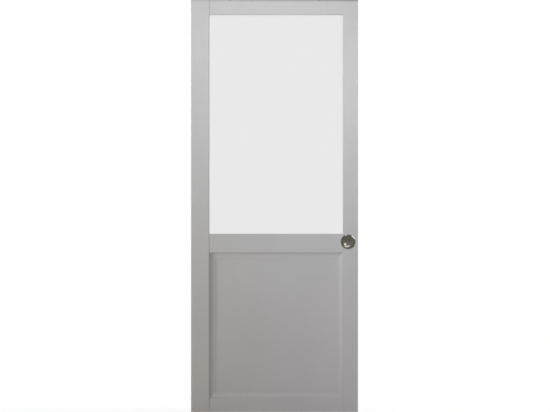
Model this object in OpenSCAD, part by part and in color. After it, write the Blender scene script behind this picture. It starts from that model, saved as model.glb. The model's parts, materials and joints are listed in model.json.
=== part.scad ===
// Sliding door: a framed leaf with a glass light over a moulded panel. It hangs by two
// trolleys from a head track, and a floor guide keeps its foot in line.
// Millimetres. Front is -Y, +X is to the right seen from the front, +Z is up.
// The origin is on the finished floor under the middle of the track.
// The leaf is drawn shut, with its right edge at the right end of its travel.

/* [Leaf] */
// Width of the leaf
leaf_w = 826; // [700:1:1000]
// Height of the leaf
leaf_h = 2040; // [1950:10:2300]
// Thickness of the leaf
leaf_t = 40; // [38:1:50]
// Gap between the finished floor and the leaf
floor_gap = 8; // [6:0.5:15]
// Width of the left stile
left_stile_w = 90; // [80:1:120]
// Width of the right stile
right_stile_w = 74; // [73:1:120]
// Height of the top rail
top_rail_h = 73; // [65:1:140]
// Height of the middle rail
middle_rail_h = 93; // [84:1:160]
// Height of the bottom rail
bottom_rail_h = 70; // [64:1:200]
// Height of the glass opening
glass_opening_h = 1085; // [600:5:1200]
// Radius of the upright outer edges of the leaf
arris_r = 2; // [1:0.5:4]
// Chamfer along the joint of the left stile and the rails
left_joint_chamfer = 2.5; // [0.5:0.1:4]
// Chamfer along the joint of the right stile and the rails
right_joint_chamfer = 0.8; // [0.3:0.1:4]
// Chamfer along the other edges of the rails
rail_chamfer = 1; // [0.5:0.1:3]

/* [Joinery] */
// Diameter of the frame dowels
dowel_d = 10; // [6:0.5:11]
// Length of the frame dowels
dowel_l = 80; // [50:2:90]
// Chamfer at the ends of the dowels
dowel_chamfer = 1.5; // [0.5:0.5:2.5]
// Distance of a dowel from the edge of the solid part of its rail
dowel_edge = 11; // [8:0.5:13]
// Radial clearance round the dowels
dowel_clear = 0.1; // [0.05:0.05:0.2]
// Room past each end of a dowel
dowel_end_gap = 0.8; // [0.2:0.1:2]

/* [Glazing] */
// Thickness of the glass pane
glass_t = 5; // [4:1:8]
// Depth of the glazing rebate past the edge of the opening
rebate_w = 10; // [8:0.5:10.5]
// Thickness of the lip in front of the glass
front_lip_t = 12; // [8:0.5:14]
// Gap between the edge of the glass and the rebate
glass_edge_gap = 2; // [1:0.5:4]
// Thickness of the glazing tape
tape_t = 2; // [1:0.5:3]
// Distance of the tape back from the edge of the opening
tape_set_back = 1; // [0.5:0.5:3]
// Distance of the glazing beads below the rear face
bead_set_back = 2; // [1:0.5:5]
// Radius along the inner edge of the glazing beads
bead_round_r = 5; // [2:0.5:8]
// Length of the setting blocks under the glass
setting_block_l = 60; // [30:5:100]
// Distance of the setting blocks from the ends of the glass
setting_block_inset = 120; // [60:5:180]

/* [Panel and mouldings] */
// Thickness of the lower panel
panel_t = 10; // [8:1:16]
// How far the panel goes into its grooves
panel_engage = 8; // [5:0.5:10]
// Room for the panel to swell in its grooves
panel_swell_gap = 2; // [1:0.5:3]
// Clearance on each face of the panel in its grooves
panel_side_clear = 0.2; // [0.1:0.05:0.5]
// Distance of the mouldings below the face of the leaf
moulding_set_back = 5; // [0:0.5:6]
// Width of the flat fillet along the outer edge of the mouldings
moulding_fillet_w = 2; // [1.5:0.5:8]
// Width and height of the step between the fillet and the cove
moulding_quirk = 1; // [0.5:0.1:2]
// Radius of the cove
cove_r = 50; // [12:1:60]
// Thickness of the mouldings at their inner edge
moulding_toe_t = 2; // [1:0.5:4]
// Width of the flat along the inner edge of the mouldings
moulding_toe_w = 2; // [1:0.5:6]

/* [Flush pulls] */
// Distance of the pulls from the right edge of the leaf
pull_from_edge = 49; // [44:1:50]
// Distance of the middle of the pulls below the glass opening
pull_below_glass = 39; // [39:1:50]
// Diameter of the rim
pull_rim_d = 73; // [70:1:84]
// Diameter of the mouth
pull_mouth_d = 60; // [40:1:61]
// Depth of the dish below the face of the leaf
pull_depth = 12; // [8:0.5:12.5]
// Height of the rim above the face of the leaf
pull_proud = 2.5; // [2:0.5:4]
// Height of the outer edge of the bevelled rim
pull_edge_h = 0.5; // [0.3:0.1:1.5]
// Thickness of the wall of the cup
pull_wall_t = 1.5; // [1:0.25:2]
// Thickness of the floor of the cup
pull_floor_t = 1; // [0.75:0.25:1.25]
// Radius of the bowl of the dish
pull_bowl_r = 46; // [45:1:200]
// Radius between the wall and the bowl of the dish
pull_cove_r = 3; // [2:0.5:6]
// Radius along the edge of the mouth
pull_lip_r = 2; // [1:0.25:2.5]
// Clearance of the cup in its hole
pull_clear = 0.25; // [0.1:0.05:0.4]

/* [Hangers] */
// Distance of the hangers from the edges of the leaf
hanger_inset = 190; // [185:5:260]
// Length of the hanger plates
plate_l = 100; // [90:2:120]
// Width of the hanger plates
plate_w = 30; // [26:1:34]
// Thickness of the hanger plates
plate_t = 4; // [3:0.5:6]
// Radius of the corners of the hanger plates
plate_corner_r = 4; // [2:0.5:8]
// Clearance round the hanger plates in the top rail
plate_clear = 0.3; // [0.1:0.1:0.6]
// Spacing of the plate screws along the leaf
plate_screw_dx = 76; // [60:2:80]
// Spacing of the plate screws across the leaf
plate_screw_dy = 16; // [14:1:17]
// Diameter of the plate screws
wood_screw_d = 4; // [3:0.5:5]
// Diameter of the heads of the plate screws
wood_screw_head_d = 8; // [7:0.5:9]
// Length of the plate screws
wood_screw_l = 30; // [20:1:40]
// Length of the points of the plate screws
wood_screw_point_l = 5; // [3:0.5:8]
// Radial clearance round the plate screws
wood_screw_clear = 0.15; // [0.05:0.05:0.3]
// Diameter of the hanger bolts
bolt_d = 8; // [6:0.5:9]
// Width across the flats of the bolt heads and lock nuts
hex_af = 13; // [12:0.5:15]
// Height of the bolt heads
bolt_head_h = 5.3; // [4:0.1:7]
// Room round and below the bolt heads
bolt_head_room = 2; // [1:0.5:4]
// Height of the lock nuts
lock_nut_h = 6.5; // [4:0.5:8]
// Gap between the lock nuts and the track
lock_nut_gap = 1.5; // [1:0.5:12]
// Radial clearance round the bolts
bolt_clear = 0.1; // [0.05:0.05:0.2]
// Distance of the bolt ends below the top of the trolleys
bolt_end_drop = 1.5; // [0.5:0.5:4]

/* [Trolleys] */
// Thickness of the trolley bodies
trolley_t = 15; // [13:0.5:20]
// Height of the trolley bodies
trolley_h = 17.8; // [14:0.2:20]
// Distance of the axles from the ends of the trolley bodies
axle_end = 16; // [14:0.5:24]
// Diameter of the bosses that take the hanger bolts
boss_d = 19; // [14:0.5:20]
// Gap between the wheels and the bosses
wheel_boss_gap = 1.5; // [0.5:0.5:8]
// Diameter of the axles
axle_d = 5; // [4:0.5:6]
// Diameter of the axle heads
axle_head_d = 8; // [7:0.5:9]
// Thickness of the axle heads
axle_head_t = 0.8; // [0.6:0.1:1.2]
// Radial clearance on the axles
axle_clear = 0.05; // [0.02:0.01:0.1]
// Diameter of the wheels
wheel_d = 22; // [20:0.5:26]
// Width of the wheels
wheel_w = 8; // [7:0.5:10]
// Clearance on each side of the wheels
wheel_side_clear = 0.3; // [0.2:0.1:0.5]
// Diameter of the hubs of the wheels
wheel_hub_d = 10; // [8:0.5:11]
// Thickness of the rims of the wheels under their groove
wheel_rim_t = 1.8; // [1:0.1:2.5]
// Depth of the hollow between hub and rim
wheel_hollow_d = 1.5; // [0.5:0.1:3]

/* [Track] */
// Wall thickness of the track
track_wall = 2.2; // [2:0.1:3]
// Width of the slot under the track
slot_w = 12; // [11:0.5:14]
// Radius of the running beads
running_bead_r = 1.2; // [0.8:0.1:1.5]
// Gap between the wheels and the track they run on
wheel_clear = 0.3; // [0.2:0.05:0.4]
// Gap above the wheels
wheel_top_gap = 3.3; // [2:0.1:6]
// Gap between the axle heads and the sides of the track
axle_head_gap = 0.9; // [0.5:0.1:2]
// Radius of the outer corners of the track
track_corner_r = 1.5; // [0.5:0.5:2]
// Length of track past the leaf at each end of its travel
track_end = 30; // [20:5:100]
// Diameter of the screw holes in the track
track_hole_d = 5.5; // [4.5:0.5:6.5]
// Spacing of the screw holes in the track
track_hole_pitch = 300; // [200:10:400]
// Least distance of a screw hole from the ends of the track
track_hole_end = 60; // [20:5:75]

/* [Stops] */
// Length of the stop bodies
stop_l = 30; // [24:1:50]
// Clearance of the stop bodies in the track
stop_clear = 0.4; // [0.2:0.1:0.8]
// Gap between the stop bodies and the top of the track
stop_top_gap = 1; // [0.5:0.5:3]
// Diameter of the stop screws
stop_screw_d = 6; // [5:0.5:8]
// Length of the stop screws
stop_screw_l = 22; // [16:1:24]
// Width across the flats of the sockets in the stop screws
stop_socket_af = 3; // [2:0.5:4]
// Depth of the sockets in the stop screws
stop_socket_d = 4; // [2:0.5:6]
// Diameter of the buffers
buffer_d = 14; // [10:0.5:16]
// Length of the buffers
buffer_l = 8; // [5:0.5:12]
// Radius along the front edge of the buffers
buffer_round_r = 2; // [0.5:0.5:4]
// Diameter of the stems of the buffers
buffer_stem_d = 5; // [3:0.5:7]
// Length of the stems of the buffers
buffer_stem_l = 8; // [5:0.5:8]
// Radial clearance round the stems and the stop screws
stop_fit_clear = 0.1; // [0.05:0.05:0.2]
// Gap between the buffers and the trolleys at the ends of the travel
buffer_gap = 0.3; // [0.2:0.1:1]

/* [Floor guide] */
// Distance of the guide from the edge of the leaf at each end of the travel
guide_overlap = 30; // [24:1:60]
// Length of the base
guide_l = 60; // [56:1:90]
// Width of the base
guide_w = 40; // [30:1:44]
// Thickness of the base
guide_base_t = 4; // [3:0.5:5]
// Radius of the corners of the base
guide_corner_r = 5; // [2:0.5:8]
// Length of the fin
fin_l = 32; // [24:1:34]
// Thickness of the fin
fin_t = 7; // [5:0.5:9]
// Height of the fin inside the leaf
fin_engage = 16; // [10:0.5:18]
// Clearance on each side of the fin
fin_side_clear = 0.5; // [0.3:0.1:0.8]
// Gap above the fin
fin_top_gap = 4; // [2:0.5:5]
// Diameter of the screw holes in the base
guide_hole_d = 4.5; // [4:0.5:5]
// Diameter of the countersinks in the base
guide_csk_d = 9; // [7:0.5:10]

/* [Hidden] */
$fn = 64;
// How far a cutting shape runs past the face that it cuts
cut = 1;
SIDES = ["bottom", "right", "top", "left"];
FACES = ["front", "rear"];
ENDS = ["left", "right"];
PLACES = ["left", "right"];

// Places on the leaf, measured from its lower left corner
opening_x = left_stile_w;
opening_w = leaf_w - left_stile_w - right_stile_w;
panel_opening_h = leaf_h - bottom_rail_h - middle_rail_h - glass_opening_h - top_rail_h;
middle_rail_z = bottom_rail_h + panel_opening_h;
glass_z = middle_rail_z + middle_rail_h;
top_rail_z = glass_z + glass_opening_h;
leaf_x0 = -guide_overlap;
leaf_top = floor_gap + leaf_h;

// Glazing, from the front lip to the beads
glass_y = -leaf_t / 2 + front_lip_t + tape_t;
bead_y = glass_y + glass_t + tape_t;
bead_h = leaf_t / 2 - bead_set_back - bead_y;
glass_over = rebate_w - glass_edge_gap;

// Panel and mouldings
groove_d = panel_engage + panel_swell_gap;
groove_w = panel_t + 2 * panel_side_clear;
moulding_h = (leaf_t - panel_t) / 2 - moulding_set_back;
cove_drop = moulding_h - moulding_quirk - moulding_toe_t;
cove_x = moulding_fillet_w + moulding_quirk + sqrt(2 * cove_r * cove_drop - cove_drop * cove_drop);
moulding_w = cove_x + moulding_toe_w;

// Flush pulls
pull_x = leaf_w - pull_from_edge;
pull_z = glass_z - pull_below_glass;
pull_body_r = pull_mouth_d / 2 + pull_wall_t;

// Floor guide
fin_top = floor_gap + fin_engage;
guide_groove_w = fin_t + 2 * fin_side_clear;
guide_groove_d = fin_engage + fin_top_gap;
guide_hole_x = (fin_l + guide_l) / 4;

// Dowels, two in each end of each rail
dowel_z = [
    guide_groove_d + dowel_edge,
    bottom_rail_h - groove_d - dowel_edge,
    middle_rail_z + groove_d + dowel_edge,
    glass_z - rebate_w - dowel_edge,
    top_rail_z + rebate_w + dowel_edge,
    leaf_h - dowel_edge
];

// Trolleys and track
wheel_r = wheel_d / 2;
wheel_y = trolley_t / 2 + wheel_side_clear + wheel_w / 2;
axle_half_l = wheel_y + wheel_w / 2 + wheel_side_clear + axle_head_t;
axle_pitch = boss_d + wheel_d + 2 * wheel_boss_gap;
trolley_l = axle_pitch + 2 * axle_end;
track_z = leaf_top + lock_nut_h + lock_nut_gap;
track_w = 2 * (axle_half_l + axle_head_gap + track_wall);
track_h = 2 * track_wall + wheel_clear + wheel_d + wheel_top_gap;
axle_z = track_z + track_wall + wheel_clear + wheel_r;
hanger_x = [leaf_x0 + hanger_inset, leaf_x0 + leaf_w - hanger_inset];
leaf_reach = leaf_w - guide_overlap;
track_l = 2 * (leaf_reach + track_end);
track_holes = floor((track_l / 2 - track_hole_end - track_hole_pitch / 2) / track_hole_pitch);

// Stops, measured from the middle of the track
trolley_reach = leaf_reach - hanger_inset + trolley_l / 2;
stop_x = trolley_reach + buffer_gap + buffer_l;

PAINT = [0.66, 0.66, 0.67];
PANE = [0.9, 0.91, 0.91, 0.8];
FOAM = [0.75, 0.75, 0.75];
BEECH = [0.78, 0.62, 0.42];
NICKEL = [0.36, 0.35, 0.31];
ZINC = [0.72, 0.73, 0.74];
STEEL = [0.56, 0.57, 0.58];
NYLON = [0.93, 0.93, 0.9];
ANODISED = [0.78, 0.79, 0.8];
RUBBER = [0.1, 0.1, 0.1];

// Shared shapes

// What rounding takes off a corner at the origin, with the solid towards +x and +y
module corner_cut(r) {
    difference() {
        translate([-cut, -cut])
            square(r + cut);
        translate([r, r])
            circle(r);
    }
}

// Rectangle about the origin with round corners
module round_rect(size_x, size_y, r) {
    square([size_x - 2 * r, size_y], center = true);
    square([size_x, size_y - 2 * r], center = true);
    for (sx = [-1, 1])
        for (sy = [-1, 1])
            translate([sx * (size_x / 2 - r), sy * (size_y / 2 - r)])
                circle(r);
}

// Rectangle from the origin with a chamfer on each corner, its own at each end of x
module chamfered_rect(size_x, size_y, c0, c1) {
    polygon([
        [c0, 0],
        [size_x - c1, 0],
        [size_x, c1],
        [size_x, size_y - c1],
        [size_x - c1, size_y],
        [c0, size_y],
        [0, size_y - c0],
        [0, c0]
    ]);
}

// Countersunk hole down from z = 0
module countersunk_hole(d, head_d, depth) {
    sink = (head_d - d) / 2;
    translate([0, 0, -depth])
        cylinder(d = d, h = depth + cut);
    translate([0, 0, -sink])
        cylinder(d1 = d, d2 = head_d + 2 * cut, h = sink + cut);
}

// Hexagon bar up from z = 0, its flats across x
module hex_bar(af, h) {
    cylinder(d = af / cos(30), h = h, $fn = 6);
}

// Bar along x with the section that is given, mitred at both ends towards +y
module mitred_bar(length, w, h) {
    intersection() {
        translate([-cut, 0, 0])
            rotate([90, 0, 90])
                linear_extrude(length + 2 * cut)
                    children();
        translate([0, 0, -cut])
            linear_extrude(h + 2 * cut)
                polygon([
                    [-cut, -cut],
                    [length + cut, -cut],
                    [length - w - cut, w + cut],
                    [w + cut, w + cut]
                ]);
    }
}

// Puts a bar along one side of an opening of size w by h
module along_side(side, w, h) {
    corner = [[0, 0], [w, 0], [w, h], [0, h]][side];
    translate([corner.x, corner.y, 0])
        rotate(90 * side)
            children();
}

function side_length(side, w, h) = side % 2 == 0 ? w : h;

// Turns a flat layout upright, its x along the leaf, its y up and its z out of the front or rear face
module upright(face) {
    mirror([0, face, 0])
        rotate([90, 0, 0])
            children();
}

module on_leaf() {
    translate([leaf_x0, 0, floor_gap])
        children();
}

// Cuts that cross several members of the leaf

module glass_rebate() {
    translate([opening_x - rebate_w, -leaf_t / 2 + front_lip_t, glass_z - rebate_w])
        cube([opening_w + 2 * rebate_w, leaf_t, glass_opening_h + 2 * rebate_w]);
}

module panel_groove() {
    translate([opening_x - groove_d, -groove_w / 2, bottom_rail_h - groove_d])
        cube([opening_w + 2 * groove_d, groove_w, panel_opening_h + 2 * groove_d]);
}

module guide_groove() {
    translate([-cut, -guide_groove_w / 2, -cut])
        cube([leaf_w + 2 * cut, guide_groove_w, guide_groove_d + cut]);
}

module at_dowels() {
    for (x = [opening_x, opening_x + opening_w])
        for (z = dowel_z)
            translate([x, 0, z])
                rotate([0, 90, 0])
                    children();
}

module dowel_holes() {
    at_dowels()
        cylinder(d = dowel_d + 2 * dowel_clear, h = dowel_l + 2 * dowel_end_gap, center = true);
}

module pull_holes() {
    for (face = [0, 1])
        translate([pull_x, 0, pull_z])
            upright(face)
                translate([0, 0, leaf_t / 2 - pull_depth - pull_floor_t - pull_clear])
                    cylinder(r = pull_body_r + pull_clear, h = leaf_t / 2);
}

module frame_cuts() {
    glass_rebate();
    panel_groove();
    guide_groove();
    dowel_holes();
    pull_holes();
}

// Leaf frame

// Stile with its outer edge at x = 0 and its inner edge at x = w
module stile(w, joint_chamfer) {
    linear_extrude(leaf_h)
        difference() {
            translate([-joint_chamfer, -leaf_t / 2])
                intersection() {
                    chamfered_rect(w + joint_chamfer, leaf_t, joint_chamfer, joint_chamfer);
                    translate([joint_chamfer, -cut])
                        square([w, leaf_t + 2 * cut]);
                }
            for (face = [0, 1])
                mirror([0, face])
                    translate([0, -leaf_t / 2])
                        corner_cut(arris_r);
        }
}

// Rail between the stiles, from height z up
module rail(z, h) {
    translate([opening_x, -leaf_t / 2, z])
        intersection() {
            translate([0, 0, -cut])
                linear_extrude(h + 2 * cut)
                    chamfered_rect(opening_w, leaf_t, left_joint_chamfer, right_joint_chamfer);
            translate([-cut, 0, 0])
                rotate([90, 0, 90])
                    linear_extrude(opening_w + 2 * cut)
                        chamfered_rect(leaf_t, h, rail_chamfer, rail_chamfer);
        }
}

module left_stile() {
    color(PAINT)
        on_leaf()
            difference() {
                stile(left_stile_w, left_joint_chamfer);
                frame_cuts();
            }
}

module right_stile() {
    color(PAINT)
        on_leaf()
            difference() {
                translate([leaf_w, 0, 0])
                    mirror([1, 0, 0])
                        stile(right_stile_w, right_joint_chamfer);
                frame_cuts();
            }
}

module top_rail() {
    color(PAINT)
        difference() {
            on_leaf()
                difference() {
                    rail(top_rail_z, top_rail_h);
                    frame_cuts();
                }
            for (end = [0, 1])
                at_hanger(end)
                    hanger_recess();
        }
}

module middle_rail() {
    color(PAINT)
        on_leaf()
            difference() {
                rail(middle_rail_z, middle_rail_h);
                frame_cuts();
            }
}

module bottom_rail() {
    color(PAINT)
        on_leaf()
            difference() {
                rail(0, bottom_rail_h);
                frame_cuts();
            }
}

module frame_dowels() {
    dowel_r = dowel_d / 2;
    color(BEECH)
        on_leaf()
            at_dowels()
                rotate_extrude()
                    translate([0, -dowel_l / 2])
                        polygon([
                            [0, 0],
                            [dowel_r - dowel_chamfer, 0],
                            [dowel_r, dowel_chamfer],
                            [dowel_r, dowel_l - dowel_chamfer],
                            [dowel_r - dowel_chamfer, dowel_l],
                            [0, dowel_l]
                        ]);
}

// Panel and mouldings

module lower_panel() {
    color(PAINT)
        on_leaf()
            translate([opening_x - panel_engage, -panel_t / 2, bottom_rail_h - panel_engage])
                cube([opening_w + 2 * panel_engage, panel_t, panel_opening_h + 2 * panel_engage]);
}

// Section of a panel moulding: x runs from the frame into the opening, y from the panel outwards
module moulding_section() {
    square([moulding_fillet_w, moulding_h]);
    difference() {
        square([moulding_w, moulding_h - moulding_quirk]);
        translate([cove_x, cove_r + moulding_toe_t])
            circle(cove_r);
        translate([cove_x, moulding_toe_t])
            square([moulding_w, moulding_h]);
    }
}

module moulding(face, side) {
    color(PAINT)
        on_leaf()
            translate([opening_x, 0, bottom_rail_h])
                upright(face)
                    translate([0, 0, panel_t / 2])
                        along_side(side, opening_w, panel_opening_h)
                            mitred_bar(side_length(side, opening_w, panel_opening_h), moulding_w, moulding_h)
                                moulding_section();
}

// Glazing

module glass_pane() {
    color(PANE)
        on_leaf()
            translate([opening_x - glass_over, glass_y, glass_z - glass_over])
                cube([opening_w + 2 * glass_over, glass_t, glass_opening_h + 2 * glass_over]);
}

module glazing_tape(y) {
    color(FOAM)
        on_leaf()
            difference() {
                translate([opening_x - glass_over, y, glass_z - glass_over])
                    cube([opening_w + 2 * glass_over, tape_t, glass_opening_h + 2 * glass_over]);
                translate([opening_x - tape_set_back, y - cut, glass_z - tape_set_back])
                    cube([
                        opening_w + 2 * tape_set_back,
                        tape_t + 2 * cut,
                        glass_opening_h + 2 * tape_set_back
                    ]);
            }
}

module glass_setting_blocks() {
    color(RUBBER)
        on_leaf()
            for (x = [setting_block_inset, opening_w - setting_block_inset - setting_block_l])
                translate([opening_x + x, glass_y, glass_z - rebate_w])
                    cube([setting_block_l, glass_t, glass_edge_gap]);
}

// Section of a glazing bead: x runs from the rebate into the opening, y from the tape to the rear
module glazing_bead_section() {
    difference() {
        square([rebate_w, bead_h]);
        translate([rebate_w, bead_h])
            rotate(180)
                corner_cut(bead_round_r);
    }
}

module glazing_bead(side) {
    rebate_x = opening_w + 2 * rebate_w;
    rebate_z = glass_opening_h + 2 * rebate_w;
    color(PAINT)
        on_leaf()
            translate([opening_x - rebate_w, 0, glass_z - rebate_w])
                upright(1)
                    translate([0, 0, bead_y])
                        along_side(side, rebate_x, rebate_z)
                            mitred_bar(side_length(side, rebate_x, rebate_z), rebate_w, bead_h)
                                glazing_bead_section();
}

// Flush pulls

// Half section of a pull: x is the radius and y runs from the face of the leaf outwards
module pull_section() {
    mouth_r = pull_mouth_d / 2;
    rim_top_r = mouth_r + pull_lip_r;
    // The cove touches both the bowl and the wall
    cove_mid_r = mouth_r - pull_cove_r;
    bowl_mid_y = pull_bowl_r - pull_depth;
    bowl_less_cove = pull_bowl_r - pull_cove_r;
    cove_y = bowl_mid_y - sqrt(bowl_less_cove * bowl_less_cove - cove_mid_r * cove_mid_r);
    bowl_edge_r = cove_mid_r * pull_bowl_r / bowl_less_cove;
    rim_r = pull_rim_d / 2;
    difference() {
        union() {
            polygon([[0, 0], [rim_r, 0], [rim_r, pull_edge_h], [rim_top_r, pull_proud], [0, pull_proud]]);
            translate([0, -pull_depth - pull_floor_t])
                square([pull_body_r, pull_depth + pull_floor_t + pull_proud / 2]);
        }
        translate([0, cove_y])
            square([mouth_r, max(pull_proud - cove_y, 0) + cut]);
        translate([cove_mid_r, cove_y])
            circle(pull_cove_r);
        intersection() {
            translate([0, bowl_mid_y])
                circle(pull_bowl_r);
            translate([0, -pull_depth - cut])
                square([bowl_edge_r, max(cove_y, 0) + pull_depth + 2 * cut]);
        }
        translate([mouth_r, pull_proud])
            mirror([0, 1])
                corner_cut(pull_lip_r);
    }
}

module flush_pull(face) {
    color(NICKEL)
        on_leaf()
            translate([pull_x, 0, pull_z])
                upright(face)
                    translate([0, 0, leaf_t / 2])
                        rotate_extrude()
                            pull_section();
}

// Hangers, measured from the top of the leaf above the middle of the plate

module at_hanger(end) {
    translate([hanger_x[end], 0, leaf_top])
        children();
}

module at_plate_screws() {
    for (sx = [-1, 1])
        for (sy = [-1, 1])
            translate([sx * plate_screw_dx / 2, sy * plate_screw_dy / 2, 0])
                children();
}

// What the top rail loses to a hanger
module hanger_recess() {
    head_room_d = hex_af / cos(30) + 2 * bolt_head_room;
    head_room_h = plate_t + bolt_head_h + bolt_head_room;
    translate([0, 0, -plate_t])
        linear_extrude(plate_t + cut)
            round_rect(plate_l + 2 * plate_clear, plate_w + 2 * plate_clear, plate_corner_r + plate_clear);
    translate([0, 0, -head_room_h])
        cylinder(d = head_room_d, h = head_room_h);
    at_plate_screws()
        translate([0, 0, -wood_screw_l - cut])
            cylinder(d = wood_screw_d + 2 * wood_screw_clear, h = wood_screw_l);
}

module hanger_plate(end) {
    hole_d = wood_screw_d + 2 * wood_screw_clear;
    color(ZINC)
        at_hanger(end)
            difference() {
                translate([0, 0, -plate_t])
                    linear_extrude(plate_t)
                        round_rect(plate_l, plate_w, plate_corner_r);
                translate([0, 0, -plate_t - cut])
                    cylinder(d = bolt_d + 2 * bolt_clear, h = plate_t + 2 * cut);
                at_plate_screws()
                    countersunk_hole(hole_d, wood_screw_head_d + 2 * wood_screw_clear, plate_t + cut);
            }
}

module wood_screw() {
    screw_r = wood_screw_d / 2;
    head_r = wood_screw_head_d / 2;
    rotate_extrude()
        polygon([
            [0, 0],
            [0, -wood_screw_l],
            [screw_r, wood_screw_point_l - wood_screw_l],
            [screw_r, screw_r - head_r],
            [head_r, 0]
        ]);
}

module hanger_plate_screws() {
    color(ZINC)
        for (end = [0, 1])
            at_hanger(end)
                at_plate_screws()
                    wood_screw();
}

module hanger_bolt(end) {
    bolt_top = axle_z + trolley_h / 2 - bolt_end_drop - leaf_top;
    color(STEEL)
        at_hanger(end) {
            translate([0, 0, -plate_t - bolt_head_h])
                hex_bar(hex_af, bolt_head_h);
            translate([0, 0, -plate_t - bolt_head_h / 2])
                cylinder(d = bolt_d, h = bolt_top + plate_t + bolt_head_h / 2);
        }
}

module lock_nut(end) {
    color(STEEL)
        at_hanger(end)
            difference() {
                hex_bar(hex_af, lock_nut_h);
                translate([0, 0, -cut])
                    cylinder(d = bolt_d + 2 * bolt_clear, h = lock_nut_h + 2 * cut);
            }
}

// Trolleys, measured from the middle of the trolley at the height of its axles

module at_trolley(end) {
    translate([hanger_x[end], 0, axle_z])
        children();
}

function axle_x(place) = (place - 0.5) * axle_pitch;

module trolley_body(end) {
    straight_l = trolley_l - trolley_h;
    color(ZINC)
        at_trolley(end)
            difference() {
                union() {
                    rotate([90, 0, 0])
                        linear_extrude(trolley_t, center = true) {
                            square([straight_l, trolley_h], center = true);
                            for (place = [0, 1])
                                translate([(place - 0.5) * straight_l, 0])
                                    circle(d = trolley_h);
                        }
                    cylinder(d = boss_d, h = trolley_h, center = true);
                }
                cylinder(d = bolt_d + 2 * bolt_clear, h = trolley_h + 2 * cut, center = true);
                for (place = [0, 1])
                    translate([axle_x(place), 0, 0])
                        rotate([90, 0, 0])
                            cylinder(d = axle_d + 2 * axle_clear, h = trolley_t + 2 * cut, center = true);
            }
}

module trolley_axle(end, place) {
    shank_r = axle_d / 2;
    head_r = axle_head_d / 2;
    shank_half_l = axle_half_l - axle_head_t;
    color(STEEL)
        at_trolley(end)
            translate([axle_x(place), 0, 0])
                rotate([90, 0, 0])
                    rotate_extrude()
                        polygon([
                            [0, -axle_half_l],
                            [head_r, -axle_half_l],
                            [head_r, -shank_half_l],
                            [shank_r, -shank_half_l],
                            [shank_r, shank_half_l],
                            [head_r, shank_half_l],
                            [head_r, axle_half_l],
                            [0, axle_half_l]
                        ]);
}

// Half section of a wheel: x is the radius and y runs along the axle, outwards
module wheel_section() {
    bore_r = axle_d / 2 + axle_clear;
    hub_r = wheel_hub_d / 2;
    groove_r = running_bead_r + wheel_clear;
    hollow_r = wheel_r + wheel_clear - groove_r - wheel_rim_t;
    difference() {
        translate([bore_r, -wheel_w / 2])
            square([wheel_r - bore_r, wheel_w]);
        translate([wheel_r + wheel_clear, 0])
            circle(groove_r);
        translate([hub_r, wheel_w / 2 - wheel_hollow_d])
            square([hollow_r - hub_r, wheel_hollow_d + cut]);
    }
}

module trolley_wheel(end, face, place) {
    color(NYLON)
        at_trolley(end)
            translate([axle_x(place), 0, 0])
                upright(face)
                    translate([0, 0, wheel_y])
                        rotate_extrude()
                            wheel_section();
}

// Track and stops, with y up from the underside of the track in each section

module running_beads(r) {
    for (s = [-1, 1])
        translate([s * wheel_y, track_wall])
            circle(r);
}

module track_section() {
    difference() {
        translate([-track_w / 2, 0])
            square([track_w, track_h]);
        translate([track_wall - track_w / 2, track_wall])
            square([track_w - 2 * track_wall, track_h - 2 * track_wall]);
        translate([-slot_w / 2, -cut])
            square([slot_w, track_wall + 2 * cut]);
        for (s = [0, 1])
            mirror([s, 0]) {
                translate([-track_w / 2, 0])
                    corner_cut(track_corner_r);
                translate([-track_w / 2, track_h])
                    rotate(-90)
                        corner_cut(track_corner_r);
            }
    }
    running_beads(running_bead_r);
}

module along_track(length, x) {
    translate([x, 0, track_z])
        rotate([90, 0, 90])
            linear_extrude(length)
                children();
}

module top_track() {
    color(ANODISED)
        difference() {
            along_track(track_l, -track_l / 2)
                track_section();
            for (s = [-1, 1])
                for (i = [0 : track_holes])
                    translate([s * (i + 0.5) * track_hole_pitch, 0, track_z + track_h - track_wall - cut])
                        cylinder(d = track_hole_d, h = track_wall + 2 * cut);
        }
}

// Puts a stop at the left or right end of the travel
module at_stop(end) {
    mirror([1 - end, 0, 0])
        children();
}

module at_stop_screw() {
    translate([stop_x + stop_l / 2, 0, track_z + track_h - track_wall - stop_screw_l])
        children();
}

module stop_section() {
    body_w = track_w - 2 * track_wall - 2 * stop_clear;
    body_h = track_h - 2 * track_wall - stop_top_gap;
    key_w = slot_w - 2 * stop_clear;
    difference() {
        union() {
            translate([-body_w / 2, track_wall])
                square([body_w, body_h]);
            translate([-key_w / 2, stop_clear])
                square([key_w, track_wall]);
        }
        running_beads(running_bead_r + wheel_clear);
    }
}

module stop_body(end) {
    color(ZINC)
        at_stop(end)
            difference() {
                along_track(stop_l, stop_x)
                    stop_section();
                translate([stop_x + stop_l / 2, 0, track_z - cut])
                    cylinder(d = stop_screw_d + 2 * stop_fit_clear, h = track_h);
                translate([stop_x - cut, 0, axle_z])
                    rotate([0, 90, 0])
                        cylinder(
                            d = buffer_stem_d + 2 * stop_fit_clear,
                            h = buffer_stem_l + stop_fit_clear + cut
                        );
            }
}

module stop_buffer(end) {
    color(RUBBER)
        at_stop(end)
            translate([stop_x, 0, axle_z])
                rotate([0, -90, 0])
                    rotate_extrude() {
                        difference() {
                            square([buffer_d / 2, buffer_l]);
                            translate([buffer_d / 2, buffer_l])
                                rotate(180)
                                    corner_cut(buffer_round_r);
                        }
                        translate([0, -buffer_stem_l])
                            square([buffer_stem_d / 2, buffer_stem_l + buffer_l / 2]);
                    }
}

module stop_screws() {
    color(STEEL)
        for (end = [0, 1])
            at_stop(end)
                at_stop_screw()
                    difference() {
                        cylinder(d = stop_screw_d, h = stop_screw_l);
                        translate([0, 0, -cut])
                            hex_bar(stop_socket_af, stop_socket_d + cut);
                    }
}

// Floor guide

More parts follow.
